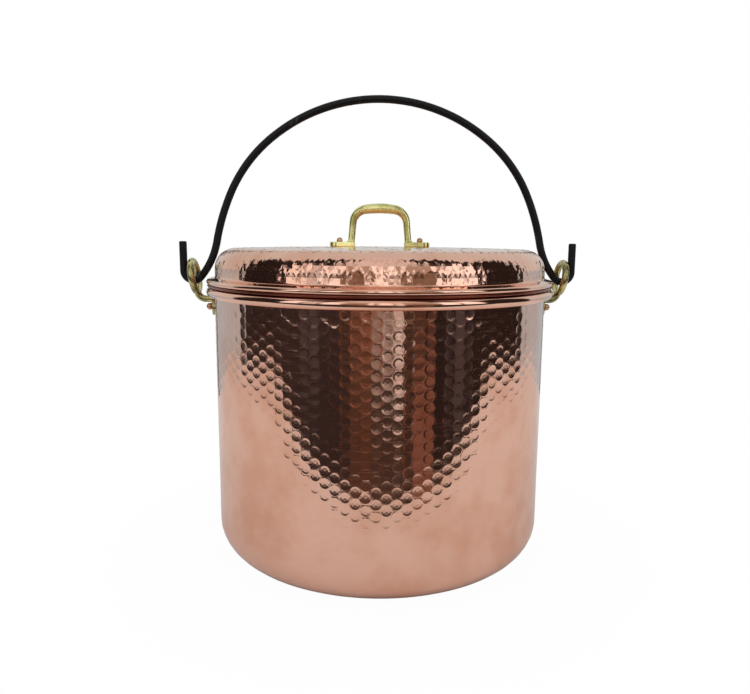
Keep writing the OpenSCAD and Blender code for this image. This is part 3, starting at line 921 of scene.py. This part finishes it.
EAR_RIVET = dict(shank_r=2.5, grip_l=4.734, head_r=3.3, proud=5.8, tail_r=5.0)
LID_RIVET = dict(shank_r=1.75, grip_l=5.564, head_r=2.9, proud=4.3, tail_r=4.5)
EAR_RIVET_R, EAR_RIVET_Z, EAR_RIVET_TURN = 148.366, 222.7, math.asin(10 / 153.05)
LID_RIVET_X, LID_RIVET_Z = 37.0, 276.081
ear_places = []
for side in (1, -1):
    for front in (1, -1):
        ray = Vector((side * math.cos(EAR_RIVET_TURN), -front * math.sin(EAR_RIVET_TURN), 0))
        ear_places.append((tuple(ray * EAR_RIVET_R + Vector((0, 0, EAR_RIVET_Z))), tuple(ray)))
lid_places = [((side * LID_RIVET_X, 0, LID_RIVET_Z), (0, 0, 1)) for side in (-1, 1)]

for stem, places, size, body in (("ear_rivet", ear_places, EAR_RIVET, "kettle"),
                                 ("lid_rivet", lid_places, LID_RIVET, "lid")):
    shape = rivet_object(**size)
    mesh = grown(rivet_points(places), SET_RIVETS, Rivet=shape, Dents=0.22 * MM, Seed=5,
                 Copper=RIVET_COPPER)
    bpy.data.objects.remove(shape)
    nodes = [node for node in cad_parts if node.startswith(stem)]
    piece(stem + "s", smooth_mesh(mesh, 50), body, "copper", *nodes)

# %% [markdown]
# ## What stays from the CAD model
#
# The ring under the lid and the two wires inside the rolled edges already have their
# right shape, so those nodes stay and only take a finish. The ring's copper is dull and
# also carries painted shade: its colour is darkened to stand for the shaded crevice under
# the lid's edge.

# %% Dress the CAD nodes that stay
# The seat ring takes the dull copper that carries painted crevice shade.
for node, material in (("lid_seat_ring", DULL_COPPER_PAINTED_SHADE), ("rim_wire", WIRE),
                       ("lid_rim_wire", WIRE)):
    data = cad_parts[node].data
    data.materials.clear()
    data.materials.append(material)
print("dressed lid_seat_ring, rim_wire, lid_rim_wire")

# %% [markdown]
# ## The studio
#
# Polished copper is mostly a picture of the room, so the room matters more than the
# lamps. The kettle stands on a pale table. In front of it is a dim studio with a few tall
# lights and windows, overhead is a pale ceiling, and behind it is a pale wall, dim at its
# foot. The world shows plain white to the camera, lights everything softly and evenly,
# and shows the room only to reflections. A direction in the room is given by its side, in
# degrees from straight in front and growing to the right, and by its rise over the table.

# %% What hangs in the room
DEGREES = 180 / math.pi
RISE_SOFT = 0.8
LIGHTS = (  # from side, to side, soft, from rise, to rise, colour
    (-22, -15.5, 1.5, -40, 0, (0.085, 0.05, 0.036, 1)),
    (-22, -15.5, 1.5, -12, 0, (0.15, 0.085, 0.06, 1)),
    (-15.5, -4.5, 1.0, -40, -11, (0.10, 0.055, 0.036, 1)),
    (-15.5, -4.5, 1.0, -11, 2, (0.27, 0.14, 0.095, 1)),
    (19, 32.5, 1.5, -40, -9.5, (0.21, 0.11, 0.08, 1)),
    (19, 32.5, 1.5, -9.5, 0, (0.085, 0.045, 0.036, 1)),
    (-54, -42, 3.0, -13, 0, (0.066, 0.06, 0.066, 1)),
    (45, 57, 3.0, -16, 0, (0.07, 0.062, 0.068, 1)),
    (-4.5, 12.5, 1.0, -40, -3, (0.35, 0.32, 0.31, 1)),
    (5.5, 12.5, 0.6, -40, -3, (0.78, 0.78, 0.78, 1)),
    (-4.5, 12.5, 1.0, -40, -13, (0.055, 0.04, 0.033, 1)),
)
WINDOWS = (
    (-27, 37, 2.0, -1.2, 9, (0.24, 0.175, 0.125, 1)),
    (-27, 37, 2.0, 13, 46, (0.46, 0.38, 0.32, 1)),
    (-66, -53, 1.0, -1.2, 44, (1.15, 1.15, 1.15, 1)),
    (-51, -41, 1.0, -1.2, 44, (0.75, 0.72, 0.70, 1)),
    (-39, -26, 1.0, -1.2, 44, (1.15, 1.15, 1.15, 1)),
    (-9.5, -5.5, 0.8, -1.2, 44, (1.1, 1.1, 1.1, 1)),
    (-3, 6, 0.8, -1.2, 44, (1.3, 1.3, 1.3, 1)),
    (8.5, 12.5, 0.8, -1.2, 44, (1.1, 1.1, 1.1, 1)),
    (37, 49, 1.0, -1.2, 44, (1.3, 1.3, 1.3, 1)),
    (51, 66, 1.0, -1.2, 44, (1.3, 1.3, 1.3, 1)),
)
FOOT_LIGHTS = ((158, 164), (171, 176), (-170, -160))  # from side, to side


def hung(net, shade, side, rise, patches):
    """Lays patches with soft edges over what is there, one after another."""
    for from_side, to_side, soft, from_rise, to_rise, light in patches:
        across = net.band(side, from_side, to_side, soft)
        part = across * net.band(rise, from_rise, to_rise, RISE_SOFT)
        shade = net.colour(part, shade, light)
    return shade


print(len(LIGHTS), "lights,", len(WINDOWS), "windows and", len(FOOT_LIGHTS), "lights behind")


# %% The dim front of the room
def front_of_room(net, towards, side, rise):
    left = net.colour(net.step(rise, -6, -1), (0.034, 0.026, 0.027, 1), (0.02, 0.014, 0.014, 1))
    shade = net.colour(net.step(side, -30, 25), left, (0.022, 0.016, 0.015, 1))
    facing = net.band(side, -29, 29, 3)
    things = net.step(net.noise(towards, 11, 2), 0.46, 0.6) * facing
    shade = net.colour(things, shade, (0.075, 0.046, 0.032, 1))
    shade = hung(net, shade, side, rise, LIGHTS)
    gloom = net.step(net.noise(towards, 17, 2, (1, 1, 1.6)), 0.5, 0.62) * facing * 0.7
    shade = net.colour(gloom, shade, (0.04, 0.026, 0.02, 1))
    return hung(net, shade, side, rise, WINDOWS)


# %% The ceiling and the wall behind
def rest_of_room(net, towards, side, rise, shade):
    opening = net.band(side.size(), 38, 76, 4) * (1 - net.step(rise, 70, 84))
    ceiling = net.step(rise, 42, 50) * (1 - opening)
    beams = net.step(net.noise(towards, 7, 1, (1, 2.5, 1)), 0.5, 0.6) * 0.4
    plaster = net.colour(beams, (0.78, 0.77, 0.76, 1), (0.40, 0.34, 0.31, 1))
    shade = net.colour(ceiling, shade, plaster)
    behind = net.step(side.size(), 106, 108)
    back_wall = net.colour(net.step(rise, -2, 4), (0.47, 0.57, 0.63, 1), (0.66, 0.70, 0.70, 1))
    shade = net.colour(behind, shade, back_wall)
    at_foot = 1 - net.step(rise, -3, 1)
    dim_foot = net.step(side.size(), 151, 155) * at_foot
    shade = net.colour(dim_foot, shade, (0.13, 0.10, 0.085, 1))
    for from_side, to_side in FOOT_LIGHTS:
        part = net.band(side, from_side, to_side, 1.0) * at_foot
        shade = net.colour(part, shade, (0.85, 0.82, 0.80, 1))
    return shade


# %% The world
def room():
    world = bpy.data.worlds.new("studio")
    bpy.context.scene.world = world
    world.use_nodes = True
    net = Net(world.node_tree)
    towards = net.add("ShaderNodeTexCoord").outputs["Generated"]
    x, y, z = net.parts(towards)
    side = x.math("ARCTAN2", x, y * -1) * DEGREES
    rise = z.math("ARCSINE", z) * DEGREES
    shade = front_of_room(net, towards, side, rise)
    shade = rest_of_room(net, towards, side, rise, shade)
    ray = net.add("ShaderNodeLightPath")
    soft_light = (0.86, 0.86, 0.86, 1)
    seen = net.colour(Value(net, ray.outputs["Is Glossy Ray"]), soft_light, shade)
    clear = Value(net, ray.outputs["Is Camera Ray"]).most(
        Value(net, ray.outputs["Is Transmission Ray"]))
    seen = net.colour(clear, seen, (1, 1, 1, 1))
    net.plug(seen, world.node_tree.nodes["Background"].inputs["Color"])
    print("room has", len(world.node_tree.nodes), "nodes")


room()

# %% [markdown]
# The table is a pale floor. To the camera it is nearly white and keeps the kettle's soft
# shadow, and reflections see it only as far as its edges: beyond them they see the room.

# %% The table
TABLE_HALF, TABLE_Z = 3.0, -0.0003
TABLE_FRONT, TABLE_BACK, TABLE_END = (-0.368, -0.362), (0.55, 0.556), (1.05, 1.06)
SHADOW_R, CLEAR_R, SHADOW_WHITE = 0.2, 0.3, 0.975


def table_top():
    """A floor in metres. Reflections lose it between the two values of each edge."""
    mesh = bpy.data.meshes.new("table")
    mesh.from_pydata([(x * TABLE_HALF, y * TABLE_HALF, TABLE_Z) for x, y in
                      ((-1, -1), (1, -1), (1, 1), (-1, 1))], [], [(0, 1, 2, 3)])
    obj = bpy.data.objects.new("table", mesh)
    bpy.context.scene.collection.objects.link(obj)
    material, net, shader, point = finish_of("pale table", Roughness=0.9,
                                             Specular_IOR_Level=0.0)
    grain = net.noise(point, 8, 3)
    net.plug(net.colour(grain, (0.655, 0.65, 0.645, 1), (0.69, 0.685, 0.68, 1)),
             shader.inputs["Base Color"])
    ray = net.add("ShaderNodeLightPath")
    x, y, _ = net.parts(point)
    white = net.add("ShaderNodeEmission", None, {"Color": (1, 1, 1, 1), "Strength": 1.0})
    out = (x * x + y * y) ** 0.5
    clean = SHADOW_WHITE + (1 - SHADOW_WHITE) * net.step(out, SHADOW_R, CLEAR_R)
    camera_share = clean * Value(net, ray.outputs["Is Camera Ray"])
    lit = net.add("ShaderNodeMixShader", None,
                  {0: camera_share, 1: shader.outputs[0], 2: white.outputs[0]})
    off = (1 - net.step(y, *TABLE_FRONT)).most(net.step(y, *TABLE_BACK))
    off = off.most(net.step(x.size(), *TABLE_END))
    gone = net.add("ShaderNodeBsdfTransparent")
    table = net.add("ShaderNodeMixShader", None,
                    {0: off * Value(net, ray.outputs["Is Glossy Ray"]),
                     1: lit.outputs[0], 2: gone.outputs[0]})
    end = next(n for n in material.node_tree.nodes if n.type == "OUTPUT_MATERIAL")
    net.plug(table.outputs[0], end.inputs["Surface"])
    mesh.materials.append(material)


table_top()


# %% Soft lamps
LAMP_AIM = (0, 0, 0.15)


def soft_lamp(name, place, aim, size, watts):
    light = bpy.data.lights.new(name, "AREA")
    light.shape, light.size, light.energy = "DISK", size, watts
    lamp = bpy.data.objects.new(name, light)
    bpy.context.scene.collection.objects.link(lamp)
    lamp.location = place
    lamp.rotation_euler = (Vector(aim) - Vector(place)).to_track_quat("-Z", "Y").to_euler()
    lamp.visible_glossy = False


soft_lamp("key", (-0.9, -0.7, 1.5), LAMP_AIM, 0.9, 5)
soft_lamp("fill", (1.1, -0.3, 1.2), LAMP_AIM, 0.9, 3)
print("two lamps that reflections don't show")

# %% [markdown]
# ## The camera
#
# The camera stands just above the lid's top, an arm's length away and slightly to the
# left, and looks down by nine degrees. Its lens is 32 mm on a 36 mm frame, which is what
# makes the rim open into a flat ellipse while the base still curves.

# %% Camera
CAMERA_BACK, CAMERA_UP = 0.62805, 0.28245
CAMERA_LEFT, CAMERA_DOWN, CAMERA_ROLL, AIM_LEFT = (
    math.radians(a) for a in (2.5, 8.96, 0.39, 0.34))
FOCAL_PIXELS, FRAME_PIXELS, SENSOR = 670.9, 750, 36.0
camera_data = bpy.data.cameras.new("camera")
camera_data.sensor_width = SENSOR
camera_data.lens = FOCAL_PIXELS * SENSOR / FRAME_PIXELS
camera = bpy.data.objects.new("camera", camera_data)
bpy.context.scene.collection.objects.link(camera)
turn = (Matrix.Rotation(AIM_LEFT - CAMERA_LEFT, 4, "Z")
        @ Matrix.Rotation(math.pi / 2 - CAMERA_DOWN, 4, "X")
        @ Matrix.Rotation(CAMERA_ROLL, 4, "Z"))
stand = Matrix.Translation((-CAMERA_BACK * math.sin(CAMERA_LEFT),
                            -CAMERA_BACK * math.cos(CAMERA_LEFT), CAMERA_UP))
camera.matrix_world = stand @ turn
bpy.context.scene.camera = camera
bpy.context.scene.view_settings.view_transform = "Standard"
print("lens", round(camera_data.lens, 2), "mm")
